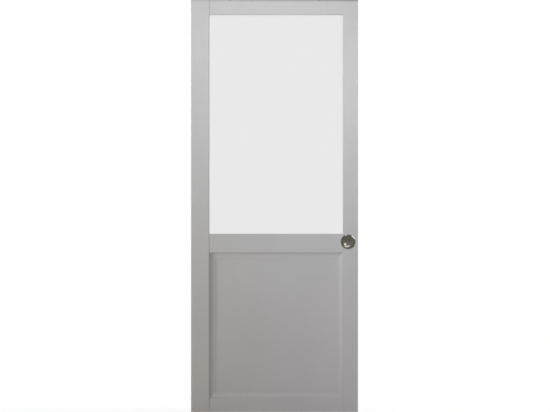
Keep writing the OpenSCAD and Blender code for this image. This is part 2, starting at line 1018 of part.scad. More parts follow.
module fin_section() {
    translate([-fin_t / 2, 0])
        square([fin_t, fin_top - fin_t / 2]);
    translate([0, fin_top - fin_t / 2])
        circle(d = fin_t);
}

module floor_guide() {
    color(STEEL)
        difference() {
            union() {
                linear_extrude(guide_base_t)
                    round_rect(guide_l, guide_w, guide_corner_r);
                translate([-fin_l / 2, 0, 0])
                    rotate([90, 0, 90])
                        linear_extrude(fin_l)
                            fin_section();
            }
            for (s = [-1, 1])
                translate([s * guide_hole_x, 0, guide_base_t])
                    countersunk_hole(guide_hole_d, guide_csk_d, guide_base_t + cut);
        }
}

left_stile();
right_stile();
top_rail();
middle_rail();
bottom_rail();
lower_panel();
for (f = [0, 1])
    for (s = [0 : 3])
        moulding(f, s);
glass_pane();
glazing_tape(glass_y - tape_t);  // glazing_tape_front
glazing_tape(glass_y + glass_t);  // glazing_tape_rear
glass_setting_blocks();
for (s = [0 : 3])
    glazing_bead(s);
frame_dowels();
for (f = [0, 1])
    flush_pull(f);
for (e = [0, 1])
    hanger_plate(e);
hanger_plate_screws();
for (e = [0, 1])
    hanger_bolt(e);
for (e = [0, 1])
    lock_nut(e);
for (e = [0, 1])
    trolley_body(e);
for (e = [0, 1])
    for (p = [0, 1])
        trolley_axle(e, p);
for (e = [0, 1])
    for (f = [0, 1])
        for (p = [0, 1])
            trolley_wheel(e, f, p);
top_track();
for (e = [0, 1])
    stop_body(e);
for (e = [0, 1])
    stop_buffer(e);
stop_screws();
floor_guide();
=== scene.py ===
# %% [markdown]
# # A top-hung sliding door
# The real door is a painted leaf with a tall pane of satin glass, hung by two roller trolleys from a head track.
# Its solids already have the right sizes, places and joints, so this lesson dresses them. Every surface gets a
# finish of its own, and the small turned and threaded pieces get finer meshes. The solids are loaded first,
# because everything below takes its place from them.

# %% Load the solids
import json
import math

import bmesh
import bpy
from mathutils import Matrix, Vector


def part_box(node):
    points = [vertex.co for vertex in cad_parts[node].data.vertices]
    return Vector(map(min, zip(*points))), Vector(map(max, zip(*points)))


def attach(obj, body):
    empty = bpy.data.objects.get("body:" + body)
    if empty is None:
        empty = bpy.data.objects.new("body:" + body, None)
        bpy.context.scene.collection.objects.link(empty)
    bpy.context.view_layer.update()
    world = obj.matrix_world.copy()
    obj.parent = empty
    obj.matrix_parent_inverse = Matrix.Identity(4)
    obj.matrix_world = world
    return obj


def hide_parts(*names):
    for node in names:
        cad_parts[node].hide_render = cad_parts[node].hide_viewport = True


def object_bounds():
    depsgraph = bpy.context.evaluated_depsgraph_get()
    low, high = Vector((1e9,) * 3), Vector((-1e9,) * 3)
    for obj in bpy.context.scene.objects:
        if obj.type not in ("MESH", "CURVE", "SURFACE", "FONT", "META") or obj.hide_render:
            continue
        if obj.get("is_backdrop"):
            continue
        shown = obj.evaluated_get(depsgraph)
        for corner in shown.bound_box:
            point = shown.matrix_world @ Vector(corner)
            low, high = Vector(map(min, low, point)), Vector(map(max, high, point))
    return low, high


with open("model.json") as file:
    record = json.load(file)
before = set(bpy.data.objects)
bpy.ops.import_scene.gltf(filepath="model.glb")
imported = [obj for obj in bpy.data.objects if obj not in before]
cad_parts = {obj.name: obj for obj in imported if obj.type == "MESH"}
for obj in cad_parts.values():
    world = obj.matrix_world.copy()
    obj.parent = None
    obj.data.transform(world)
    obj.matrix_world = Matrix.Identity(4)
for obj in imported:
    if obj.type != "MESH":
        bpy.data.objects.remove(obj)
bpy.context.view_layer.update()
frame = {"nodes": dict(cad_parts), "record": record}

# %% [markdown]
# ## The leaf's own places
# The camera, the lamps and the pulls are all placed by the leaf, so its corners are read once from its two
# stiles. The front of the door is the face with the lowest y.

# %% Measure the leaf
MM = 0.001
leaf_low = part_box("left_stile")[0]
leaf_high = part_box("right_stile")[1]
leaf_middle = (leaf_low + leaf_high) / 2
print("leaf from", leaf_low.to_tuple(4), "to", leaf_high.to_tuple(4))

# %% [markdown]
# ## A short way to write nodes
# Finishes and Geometry Nodes are both graphs of nodes. Written out, each node takes a line to make it, a line for
# each option and a line for each link. One helper does all three: a plain value fills an input, and the output of
# another node is linked to it.

# %% Node helper
def add(tree, kind, inputs=None, **options):
    """Adds a node with its options set, and fills or links its inputs by name or number."""
    node = tree.nodes.new(kind)
    for name, value in options.items():
        setattr(node, name, value)
    for name, value in (inputs or {}).items():
        if isinstance(value, bpy.types.NodeSocket):
            tree.links.new(value, node.inputs[name])
        else:
            node.inputs[name].default_value = value
    return node


def calc(tree, operation, *values):
    """One step of arithmetic between sockets or numbers."""
    return add(tree, "ShaderNodeMath", dict(enumerate(values)), operation=operation).outputs[0]


# %% [markdown]
# ## Patterns that finishes share
# A finish needs three kinds of variation: its colour drifts a little, its gloss is uneven, and its surface is
# not quite flat. All three come from noise on Object coordinates, which stay on the piece when it moves. The
# noise is stretched by the size of its features in metres, so its scale can be read in the script, and a bump's
# depth is in metres too.

# %% Start a finish
def start_finish(name, **constants):
    """A material with one Principled shader, its constant inputs set, and Object coordinates to draw on."""
    material = bpy.data.materials.new(name)
    material.use_nodes = True
    tree = material.node_tree
    shader = tree.nodes["Principled BSDF"]
    for key, value in constants.items():
        shader.inputs[key.replace("_", " ")].default_value = value
    place = add(tree, "ShaderNodeTexCoord").outputs["Object"]
    return material, tree, shader, place


# %% Noise and cells
def noise(tree, place, size, detail=2.0):
    """Noise from 0 to 1 with features of size metres along x, y and z."""
    stretched = add(tree, "ShaderNodeMapping", {"Vector": place, "Scale": [1 / side for side in size]})
    drawn = add(tree, "ShaderNodeTexNoise", {"Vector": stretched.outputs[0], "Scale": 1.0, "Detail": detail})
    return drawn.outputs["Fac"]


def cells(tree, place, size):
    """Flat random cells of about size metres, each with its own value from 0 to 1."""
    drawn = add(tree, "ShaderNodeTexVoronoi", {"Vector": place, "Scale": 1 / size})
    return add(tree, "ShaderNodeSeparateColor", {"Color": drawn.outputs["Color"]}).outputs["Red"]


# %% Spread a pattern over colours or numbers
def colours(tree, pattern, dark, light):
    """Spreads a pattern between two colours."""
    ramp = add(tree, "ShaderNodeValToRGB", {"Fac": pattern})
    for stop, position, colour in zip(ramp.color_ramp.elements, (0.3, 0.7), (dark, light)):
        stop.position = position
        stop.color = (*colour, 1.0)
    return ramp.outputs["Color"]


def spread(tree, pattern, low, high, start=0.3, end=0.7):
    """Spreads a pattern between two numbers, over the part of it from start to end."""
    limits = {"Value": pattern, "From Min": start, "From Max": end, "To Min": low, "To Max": high}
    return add(tree, "ShaderNodeMapRange", limits).outputs["Result"]


# %% Bumps
def bumps(tree, shader, *layers, edge_round=0.0):
    """Lays patterns of a given depth in metres on one another, over edges that are rounded for the light."""
    normal = None
    if edge_round:
        normal = add(tree, "ShaderNodeBevel", {"Radius": edge_round}, samples=4).outputs["Normal"]
    for pattern, depth in layers:
        inputs = {"Height": pattern, "Distance": depth}
        if normal:
            inputs["Normal"] = normal
        normal = add(tree, "ShaderNodeBump", inputs).outputs["Normal"]
    tree.links.new(normal, shader.inputs["Normal"])


# %% [markdown]
# ## Painted shade
# The paint is darkened along the top of the leaf, more to the right, and in the hollow of the panel beside the left
# stile. Both are painted shade: a dark line along the top edge, and the shadow that the stile casts into the
# moulding. They only darken the paint, by how near a point is to those places. The values of the top shade are
# the shares of the colour that it takes away, along the top at the left end and at the right end.

# %% Painted shade
TOP_SHADE_H = 9 * MM
TOP_SHADE = (0.34, 0.82)
HOLLOW_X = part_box("left_stile")[1].x
HOLLOW_SHADE = 0.28
HOLLOW_SHADE_W = 22 * MM
# Below the face, the painted shadow is full from the first depth and ends at the second
HOLLOW_DEPTHS = (3 * MM, 2 * MM)


def with_painted_shade(tree, place, colour):
    """Darkens a colour with painted shade: along the top, more to the right, and in the panel's left moulding."""
    along = add(tree, "ShaderNodeSeparateXYZ", {"Vector": place}).outputs
    # Painted shade: the top few millimetres of paint are darkened, more towards the right
    near_top = spread(tree, along["Z"], 0.0, 1.0, leaf_high.z - TOP_SHADE_H, leaf_high.z)
    top = calc(tree, "MULTIPLY", near_top, spread(tree, along["X"], *TOP_SHADE, leaf_low.x, leaf_high.x))
    from_middle = calc(tree, "ABSOLUTE", along["Y"])
    # Painted shadow: the paint just right of the left stile, below its face, is darkened where the stile shades the
    # moulding
    below_face = spread(tree, from_middle, 1.0, 0.0, *(leaf_high.y - depth for depth in HOLLOW_DEPTHS))
    right_of_stile = calc(tree, "MULTIPLY", below_face, calc(tree, "GREATER_THAN", along["X"], HOLLOW_X))
    beside = spread(tree, along["X"], HOLLOW_SHADE, 0.0, HOLLOW_X, HOLLOW_X + HOLLOW_SHADE_W)
    hollow = calc(tree, "MULTIPLY", beside, right_of_stile)
    unshaded = calc(tree, "SUBTRACT", 1.0, calc(tree, "MAXIMUM", top, hollow))
    return add(tree, "ShaderNodeVectorMath", {0: colour, "Scale": unshaded}, operation="SCALE").outputs[0]


# Where the painted shade starts, along the top and beside the left stile
print("dust lies above z =", round(leaf_high.z - TOP_SHADE_H, 4), "and right of x =", round(HOLLOW_X, 4))

# %% [markdown]
# ## Satin paint
# The leaf is wood under sprayed light grey satin paint. The coat is even, but close up it has the fine dimples of
# a spray gun, and the grain still shows through as very shallow lines along each member. Stiles have upright
# grain and rails have level grain, so there are two paints that differ only in that direction. Paint also
# rounds every edge a little, which a Bevel node gives to the light without touching the solids.

# %% Satin paint
PAINT_DARK = (0.392, 0.392, 0.393)
PAINT_LIGHT = (0.408, 0.408, 0.408)
GRAIN_ALONG = 160 * MM
GRAIN_ACROSS = 3.5 * MM
SPRAY_DIMPLE = 1.6 * MM


def satin_paint(name, grain_size):
    """Light grey satin paint over wood whose grain runs along the longest side of grain_size."""
    material, tree, shader, place = start_finish(name, IOR=1.46)
    cloud = noise(tree, place, (0.20, 0.20, 0.30), 3.0)
    grain = noise(tree, place, grain_size, 4.0)
    dimple = noise(tree, place, (SPRAY_DIMPLE,) * 3, 1.0)
    # The paint's colour carries painted shade along the top and in the hollow of the left moulding
    colour = with_painted_shade(tree, place, colours(tree, cloud, PAINT_DARK, PAINT_LIGHT))
    tree.links.new(colour, shader.inputs["Base Color"])
    tree.links.new(spread(tree, grain, 0.40, 0.46), shader.inputs["Roughness"])
    bumps(tree, shader, (grain, 0.05 * MM), (dimple, 0.02 * MM), edge_round=0.6 * MM)
    return material


paint_upright = satin_paint("satin_paint_upright", (GRAIN_ACROSS, GRAIN_ACROSS, GRAIN_ALONG))
paint_level = satin_paint("satin_paint_level", (GRAIN_ALONG, GRAIN_ACROSS, GRAIN_ACROSS))
print("paints:", paint_upright.name, paint_level.name)

# %% [markdown]
# ## Satin glass
# The pane is etched on both faces, so it lets light through and blurs what is behind it into an even pale field.
# Rough transmission does that. A faint drift in the roughness and a very fine bump stand for the etch, which is
# a field of tiny pits.

# %% Satin glass
finishes = {}


def satin_glass():
    """Etched glass that passes light but no picture."""
    material, tree, shader, place = start_finish(
        "satin_glass", Base_Color=(0.82, 0.82, 0.82, 1.0), IOR=1.5, Transmission_Weight=1.0)
    drift = noise(tree, place, (0.15, 0.15, 0.15))
    pits = noise(tree, place, (0.4 * MM,) * 3, 0.0)
    tree.links.new(spread(tree, drift, 0.20, 0.23), shader.inputs["Roughness"])
    bumps(tree, shader, (pits, 0.0015 * MM))
    return material


finishes["satin_glass"] = satin_glass()
print("made", finishes["satin_glass"].name)

# %% [markdown]
# ## Dark nickel
# The round pulls are turned and plated in dark nickel. Most of their look is what they reflect: a bowl shows the
# room upside down, so the floor makes its upper half dark and the lamps make bright spots low in it. Very fine rings
# round the axis are left from the lathe, so the pattern is a Wave texture in rings, moved to the axis of the pulls.

# %% Dark nickel
pull_low, pull_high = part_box("front_flush_pull")
pull_middle = (pull_low + pull_high) / 2
LATHE_RING = 0.35 * MM


def dark_nickel():
    """Polished dark nickel with faint turning rings round the axis of the pulls."""
    material, tree, shader, place = start_finish("dark_nickel", Metallic=1.0)
    centred = add(tree, "ShaderNodeMapping", {"Vector": place, "Location": -pull_middle})
    rings = add(tree, "ShaderNodeTexWave", {
        "Vector": centred.outputs[0], "Scale": math.tau / 20 / LATHE_RING, "Distortion": 0.4},
        wave_type="RINGS", rings_direction="Y")
    smear = noise(tree, place, (0.012, 0.012, 0.012), 3.0)
    tint = colours(tree, smear, (0.118, 0.115, 0.090), (0.135, 0.132, 0.108))
    tree.links.new(tint, shader.inputs["Base Color"])
    tree.links.new(spread(tree, smear, 0.10, 0.16), shader.inputs["Roughness"])
    bumps(tree, shader, (rings.outputs["Fac"], 0.0008 * MM))
    return material


finishes["dark_nickel"] = dark_nickel()
print("made", finishes["dark_nickel"].name, "with rings round", pull_middle.to_tuple(4))

# %% [markdown]
# ## Hardware finishes
# The rest are workshop metals, rubber and plastics. Each has its own kind of mark. Zinc plate has small crystals,
# a casting is grainy, an extrusion has long lines from its die, steel has fine scratches, nylon is slightly
# cloudy, and rubber and foam are dull and pitted. Beech has short flecks along its grain.

# %% Zinc
def zinc_plate():
    """Bright zinc plate with a fine crystal pattern and a breath of yellow."""
    material, tree, shader, place = start_finish("zinc_plate", Metallic=1.0)
    crystal = cells(tree, place, 2.5 * MM)
    haze = noise(tree, place, (0.02, 0.02, 0.02), 3.0)
    tree.links.new(colours(tree, crystal, (0.50, 0.51, 0.52), (0.60, 0.60, 0.58)), shader.inputs["Base Color"])
    tree.links.new(spread(tree, haze, 0.26, 0.38), shader.inputs["Roughness"])
    bumps(tree, shader, (haze, 0.02 * MM), edge_round=0.3 * MM)
    return material


def zinc_casting():
    """Plain die cast zinc, grey and grainy."""
    material, tree, shader, place = start_finish("zinc_casting", Metallic=1.0)
    skin = noise(tree, place, (0.9 * MM,) * 3, 4.0)
    flow = noise(tree, place, (0.03, 0.012, 0.012), 3.0)
    tree.links.new(colours(tree, flow, (0.34, 0.35, 0.36), (0.43, 0.44, 0.45)), shader.inputs["Base Color"])
    tree.links.new(spread(tree, skin, 0.42, 0.58), shader.inputs["Roughness"])
    bumps(tree, shader, (flow, 0.05 * MM), (skin, 0.03 * MM), edge_round=0.4 * MM)
    return material


finishes["zinc_plate"] = zinc_plate()
finishes["zinc_casting"] = zinc_casting()
print("finishes so far:", list(finishes))


# %% Steel and aluminium
def bright_steel():
    """Bright steel with fine scratches across it."""
    material, tree, shader, place = start_finish("steel", Metallic=1.0)
    scratch = noise(tree, place, (0.012, 0.2 * MM, 0.2 * MM), 3.0)
    tree.links.new(colours(tree, scratch, (0.44, 0.44, 0.45), (0.54, 0.54, 0.54)), shader.inputs["Base Color"])
    tree.links.new(spread(tree, scratch, 0.22, 0.34), shader.inputs["Roughness"])
    bumps(tree, shader, (scratch, 0.004 * MM), edge_round=0.2 * MM)
    return material


def anodised_aluminium():
    """Silver anodised extrusion with die lines along it."""
    material, tree, shader, place = start_finish("anodised_aluminium", Metallic=1.0)
    die_line = noise(tree, place, (1.5, 0.5 * MM, 0.5 * MM), 3.0)
    haze = noise(tree, place, (0.10, 0.03, 0.03), 2.0)
    tree.links.new(colours(tree, die_line, (0.58, 0.59, 0.60), (0.66, 0.66, 0.67)), shader.inputs["Base Color"])
    tree.links.new(spread(tree, haze, 0.32, 0.42), shader.inputs["Roughness"])
    bumps(tree, shader, (die_line, 0.01 * MM), edge_round=0.3 * MM)
    return material


finishes["steel"] = bright_steel()
finishes["anodised_aluminium"] = anodised_aluminium()
print("finishes so far:", list(finishes))


# %% Rubber, plastic and bare wood
def nylon():
    """Natural nylon, slightly cloudy and waxy."""
    material, tree, shader, place = start_finish("nylon", IOR=1.53)
    cloud = noise(tree, place, (0.006, 0.006, 0.006), 3.0)
    skin = noise(tree, place, (0.5 * MM,) * 3, 2.0)
    tree.links.new(colours(tree, cloud, (0.80, 0.80, 0.75), (0.87, 0.87, 0.83)), shader.inputs["Base Color"])
    tree.links.new(spread(tree, skin, 0.36, 0.46), shader.inputs["Roughness"])
    bumps(tree, shader, (skin, 0.01 * MM), edge_round=0.3 * MM)
    return material


def dull_elastic(name, dark, light, pit_size, pit_depth):
    """Rubber or foam: dull, with pits of the size and depth that are given in metres."""
    material, tree, shader, place = start_finish(name, IOR=1.5)
    pits = noise(tree, place, (pit_size,) * 3, 3.0)
    tree.links.new(colours(tree, pits, dark, light), shader.inputs["Base Color"])
    tree.links.new(spread(tree, pits, 0.68, 0.82), shader.inputs["Roughness"])
    bumps(tree, shader, (pits, pit_depth))
    return material


def beech():
    """Bare beech with short darker flecks along x, as the dowels lie."""
    material, tree, shader, place = start_finish("beech", IOR=1.46)
    fleck = noise(tree, place, (0.005, 0.5 * MM, 0.5 * MM), 3.0)
    tree.links.new(colours(tree, fleck, (0.46, 0.27, 0.12), (0.60, 0.38, 0.19)), shader.inputs["Base Color"])
    tree.links.new(spread(tree, fleck, 0.50, 0.62), shader.inputs["Roughness"])
    bumps(tree, shader, (fleck, 0.03 * MM))
    return material


finishes["nylon"] = nylon()
finishes["black_rubber"] = dull_elastic(
    "black_rubber", (0.012, 0.012, 0.012), (0.022, 0.022, 0.022), 0.6 * MM, 0.02 * MM)
finishes["glazing_tape"] = dull_elastic(
    "glazing_tape", (0.46, 0.46, 0.46), (0.56, 0.56, 0.56), 0.8 * MM, 0.06 * MM)
finishes["beech"] = beech()
print("finishes so far:", list(finishes))

# %% [markdown]
# ## Dress the solids
# The record says which finish each solid has. Paint is the one that needs a choice: a member that is higher than
# it is wide has upright grain.

# %% Put the finishes on
def finish_of(node, slot):
    """The finish of a solid: paint follows the way that the member lies."""
    if slot != "satin_paint":
        return finishes[slot]
    low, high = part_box(node)
    return paint_upright if high.z - low.z > high.x - low.x else paint_level


for part in frame["record"]["subparts"]:
    mesh = frame["nodes"][part["node"]].data
    mesh.materials.clear()
    mesh.materials.append(finish_of(part["node"], part["material_slot"]))

# %% [markdown]
# ## Geometry Nodes trees
# A tree is a small machine with named inputs. The next helpers start one, run it on a mesh of points, and turn
# what it grew into a plain mesh. An input is set by its identifier before the tree first runs. Every tree ends
# by making its instances real and giving them their finish.

# %% Start a tree
def start_tree(name, **inputs):
    """A tree with named inputs, each given as its kind and its first value. Returns it with its two ends."""
    tree = bpy.data.node_groups.new(name, "GeometryNodeTree")
    tree.interface.new_socket("Geometry", in_out="INPUT", socket_type="NodeSocketGeometry")
    for label, (kind, value) in inputs.items():
        socket = tree.interface.new_socket(label, in_out="INPUT", socket_type="NodeSocket" + kind)
        if value is not None:
            socket.default_value = value
    tree.interface.new_socket("Geometry", in_out="OUTPUT", socket_type="NodeSocketGeometry")
    given = tree.nodes.new("NodeGroupInput").outputs
    result = tree.nodes.new("NodeGroupOutput").inputs
    return tree, given, result


def set_inputs(modifier, tree, values):
    """Sets a modifier's inputs by the identifiers of the tree's sockets."""
    for item in tree.interface.items_tree:
        if item.in_out == "INPUT" and item.name in values:
            modifier[item.identifier] = values[item.name]


# %% Run a tree
def grow(name, tree, points, edges=(), **values):
    """Runs a tree on a mesh of points and returns an object with the plain mesh that it grew."""
    seed_mesh = bpy.data.meshes.new(name + "_points")
    seed_mesh.from_pydata(points, edges, [])
    piece = bpy.data.objects.new(name, seed_mesh)
    bpy.context.scene.collection.objects.link(piece)
    modifier = piece.modifiers.new("grow", "NODES")
    modifier.node_group = tree
    set_inputs(modifier, tree, values)
    grown = bpy.data.meshes.new_from_object(piece.evaluated_get(bpy.context.evaluated_depsgraph_get()))
    piece.modifiers.remove(modifier)
    piece.data = grown
    bpy.data.meshes.remove(seed_mesh)
    grown.name = name
    print(name, "has", len(grown.polygons), "faces")
    return piece


# %% Parts of a tree
def lift(tree, geometry, height):
    """Moves geometry along z by a socket or a number."""
    offset = add(tree, "ShaderNodeCombineXYZ", {"Z": height}).outputs[0]
    return add(tree, "GeometryNodeTransform", {"Geometry": geometry, "Translation": offset}).outputs[0]


def join(tree, *geometries):
    """Several geometries as one."""
    node = add(tree, "GeometryNodeJoinGeometry")
    for geometry in geometries:
        tree.links.new(geometry, node.inputs[0])
    return node.outputs[0]


def plant(tree, given, result, shape, **more):
    """Ends a tree: puts the shape on every given point or on other Points, makes it real and gives it its finish."""
    inputs = {"Points": given["Geometry"], "Instance": shape, **more}
    planted = add(tree, "GeometryNodeInstanceOnPoints", inputs).outputs[0]
    real = add(tree, "GeometryNodeRealizeInstances", {"Geometry": planted}).outputs[0]
    dressed = add(tree, "GeometryNodeSetMaterial", {"Geometry": real, "Material": given["Finish"]}).outputs[0]
    tree.links.new(dressed, result["Geometry"])


# %% [markdown]
# ## Smooth the round faces
# The solids come as loose flat triangles, so a cove or a turned edge would show its facets in the light. A tree
# joins the triangles along their shared edges and lets the light run smoothly over every edge that bends less
# than a given angle. It stays on the solids as a modifier, so their own meshes aren't touched.

# %% Smooth shading for the solids
JOIN_GAP = 0.001 * MM


def smoothing_tree():
    """Joins loose triangles and shades them smooth, except over edges sharper than Crease."""
    tree, given, result = start_tree("smooth_round_faces", Crease=("Float", math.radians(24)))
    joined = add(tree, "GeometryNodeMergeByDistance", {"Geometry": given["Geometry"], "Distance": JOIN_GAP})
    smooth = add(tree, "GeometryNodeSetShadeSmooth", {"Geometry": joined.outputs[0], "Shade Smooth": True})
    bend = add(tree, "GeometryNodeInputMeshEdgeAngle").outputs["Unsigned Angle"]
    sharp = add(tree, "FunctionNodeCompare", {0: bend, 1: given["Crease"]}, operation="GREATER_THAN")
    creased = add(tree, "GeometryNodeSetShadeSmooth", {
        "Geometry": smooth.outputs[0], "Selection": sharp.outputs[0], "Shade Smooth": False}, domain="EDGE")
    tree.links.new(creased.outputs[0], result["Geometry"])
    return tree


smoothing = smoothing_tree()
for solid in frame["nodes"].values():
    solid.modifiers.new("smooth_round_faces", "NODES").node_group = smoothing
print("smoothed", len(frame["nodes"]), "solids")

# %% [markdown]
# ## Turned flush pulls
# Each pull is a shallow bowl, turned on a lathe: a bevelled rim that stands proud of the door, a rounded lip, a
# small cove and a round hollow. A lathe is also the way to model it. Half of its section is drawn once, with true
# arcs that run into one another, and spun about the axis. The many steps of the spin keep its highlights round.
# The section keeps the form of the solid that it replaces, measured from the face of the leaf.

# %% Section of a pull
PULL_STEPS = 160
ARC_STEPS = 10
rim_r = (pull_high.x - pull_low.x) / 2
proud = leaf_low.y - pull_low.y
MOUTH_R = 30 * MM
DISH_DEPTH = 12 * MM
BOWL_R = 46 * MM
COVE_R = 3 * MM
LIP_R = 2 * MM
RIM_EDGE_H = 0.5 * MM
CUP_R = 31.5 * MM
CUP_DEPTH = 13 * MM
bowl_turn = math.degrees(math.asin((MOUTH_R - COVE_R) / (BOWL_R - COVE_R)))
cove_h = BOWL_R - DISH_DEPTH - (BOWL_R - COVE_R) * math.cos(math.radians(bowl_turn))


def arc(middle_r, middle_h, radius, start, end):
    """Points of an arc from one angle to another, in degrees, as radius and height."""
    turns = [math.radians(start + (end - start) * i / ARC_STEPS) for i in range(ARC_STEPS + 1)]
    return [(middle_r + radius * math.cos(t), middle_h + radius * math.sin(t)) for t in turns]


def pull_section():
    """Half section from the middle of the floor, over the lip and the rim, to the middle of the back."""
    return [
        *arc(0.0, BOWL_R - DISH_DEPTH, BOWL_R, -90, bowl_turn - 90),
        *arc(MOUTH_R - COVE_R, cove_h, COVE_R, bowl_turn - 90, 0)[1:],
        *arc(MOUTH_R + LIP_R, proud - LIP_R, LIP_R, 180, 90),
        (rim_r, RIM_EDGE_H),
        (rim_r, 0.0),
        (CUP_R, 0.0),
        (CUP_R, -CUP_DEPTH),
        (0.0, -CUP_DEPTH),
    ]


print("the bowl meets its cove at", round(bowl_turn, 1), "degrees, in a section of", len(pull_section()), "points")

# %% Spin a section
PULL_CREASE = math.radians(20)
ON_AXIS = 0.01 * MM


def turned(name, section, middle, outward, finish):
    """Spins a half section about an axis along y: heights run from the point middle towards outward."""
    turning = bmesh.new()
    rings = []
    for radius, height in section:
        y = middle.y + outward * height
        steps = PULL_STEPS if radius > ON_AXIS else 1
        turns = [math.tau * i / steps for i in range(steps)]
        rings.append([turning.verts.new((
            middle.x + radius * math.cos(t), y, middle.z + radius * math.sin(t))) for t in turns])
    for inner, outer in zip(rings, rings[1:]):
        for i in range(PULL_STEPS):
            j = (i + 1) % PULL_STEPS
            corners = [inner[i % len(inner)], inner[j % len(inner)], outer[j % len(outer)], outer[i % len(outer)]]
            turning.faces.new(list(dict.fromkeys(corners)))
    bmesh.ops.recalc_face_normals(turning, faces=turning.faces)
    mesh = bpy.data.meshes.new(name)
    turning.to_mesh(mesh)
    turning.free()
    mesh.shade_smooth()
    mesh.set_sharp_from_angle(angle=PULL_CREASE)
    mesh.materials.append(finish)
    piece = bpy.data.objects.new(name, mesh)
    bpy.context.scene.collection.objects.link(piece)
    print(name, "has", len(mesh.polygons), "faces")
    return piece


# %% Make the pulls
turned_pulls = bpy.data.collections.new("turned_pulls")
for face, outward, face_y in (("front", -1, leaf_low.y), ("rear", 1, leaf_high.y)):
    seat = Vector((pull_middle.x, face_y, pull_middle.z))
    pull = turned(f"{face}_turned_pull", pull_section(), seat, outward, finishes["dark_nickel"])
    turned_pulls.objects.link(pull)
    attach(pull, "leaf")
    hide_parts(f"{face}_flush_pull")

# %% [markdown]
# ## Wood screws in the hanger plates
# Four countersunk screws hold each hanger plate. They repeat, so they are a tree: a cone with a cross cut out of
# it for the head, a shank with a point, and a thin helix for the thread. It is planted on one point for each
# screw, at a random turn with a fixed seed, because no two screws stop at the same angle.

# %% Thread and cone
def thread(tree, radius, low, high, pitch, depth):
    """A helical ridge round z, from height low to height high, that stands depth out of the radius."""
    height = calc(tree, "SUBTRACT", high, low)
    helix = add(tree, "GeometryNodeCurveSpiral", {
        "Resolution": 24, "Rotations": calc(tree, "DIVIDE", height, pitch), "Start Radius": radius,
        "End Radius": radius, "Height": height, "Reverse": False})
    ridge = add(tree, "GeometryNodeCurvePrimitiveCircle", {"Resolution": 4, "Radius": depth}).outputs[0]
    swept = add(tree, "GeometryNodeCurveToMesh", {
        "Curve": helix.outputs[0], "Profile Curve": ridge, "Fill Caps": True}).outputs[0]
    return lift(tree, swept, low)


def cone(tree, low_r, high_r, height, steps=40):
    """A round bar or cone up from z = 0."""
    return add(tree, "GeometryNodeMeshCone", {
        "Vertices": steps, "Radius Bottom": low_r, "Radius Top": high_r, "Depth": height}).outputs["Mesh"]


# %% Tree of a wood screw
def wood_screw_tree():
    """A countersunk wood screw hanging down from each point, with the top of its head on the point."""
    tree, given, result = start_tree(
        "wood_screws", Head_Radius=("Float", 4 * MM), Core_Radius=("Float", 1.5 * MM),
        Thread_Depth=("Float", 0.5 * MM), Pitch=("Float", 1.8 * MM), Length=("Float", 30 * MM),
        Point=("Float", 5 * MM), Cross_Span=("Float", 4.4 * MM), Cross_Width=("Float", 1.0 * MM),
        Cross_Depth=("Float", 1.5 * MM), Seed=("Int", 7), Finish=("Material", None))
    core, length = given["Core_Radius"], calc(tree, "MULTIPLY", given["Length"], -1.0)
    sink = calc(tree, "SUBTRACT", given["Head_Radius"], core)
    head_low = calc(tree, "MULTIPLY", sink, -1.0)
    shank_low = calc(tree, "ADD", length, given["Point"])
    head = lift(tree, cone(tree, core, given["Head_Radius"], sink), head_low)
    bars = []
    for span, width in (("Cross_Span", "Cross_Width"), ("Cross_Width", "Cross_Span")):
        size = add(tree, "ShaderNodeCombineXYZ", {
            "X": given[span], "Y": given[width], "Z": calc(tree, "MULTIPLY", given["Cross_Depth"], 2.0)})
        bars.append(add(tree, "GeometryNodeMeshCube", {"Size": size.outputs[0]}).outputs["Mesh"])
    cut = add(tree, "GeometryNodeMeshBoolean", {
        "Mesh 1": head, "Mesh 2": join(tree, *bars), "Self Intersection": True},
        operation="DIFFERENCE", solver="EXACT").outputs["Mesh"]
    shank = lift(tree, cone(tree, core, core, calc(tree, "SUBTRACT", head_low, shank_low)), shank_low)
    tip = lift(tree, cone(tree, 0.1 * MM, core, given["Point"]), length)
    ridge = thread(tree, core, shank_low, head_low, given["Pitch"], given["Thread_Depth"])
    turn = add(tree, "FunctionNodeRandomValue", {"Max": math.tau, "Seed": given["Seed"]}).outputs["Value"]
    spin = add(tree, "ShaderNodeCombineXYZ", {"Z": turn}).outputs[0]
    plant(tree, given, result, join(tree, cut, shank, tip, ridge), Rotation=spin)
    return tree


# %% Plant the wood screws
SCREW_SPACING = (76 * MM, 16 * MM)
screw_points = []
for side in ("left", "right"):
    low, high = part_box(f"{side}_hanger_plate")
    middle = (low + high) / 2
    for sx in (-0.5, 0.5):
        for sy in (-0.5, 0.5):
            screw_points.append((middle.x + sx * SCREW_SPACING[0], middle.y + sy * SCREW_SPACING[1], high.z))

wood_screws = grow("wood_screws", wood_screw_tree(), screw_points, Finish=finishes["zinc_plate"])
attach(wood_screws, "leaf")
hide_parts("hanger_plate_screws")

# %% [markdown]
# ## Hanger bolts and lock nuts
# A bolt stands up out of each plate into its trolley, and a nut locks it against the leaf. Both are a hexagon with
# turned corners: the shape that hexagon bar has after a lathe has faced it. So a tree cuts a hexagonal prism with
# two cones. A second tree makes a threaded rod. The nut is the same hexagon with a hole through it.

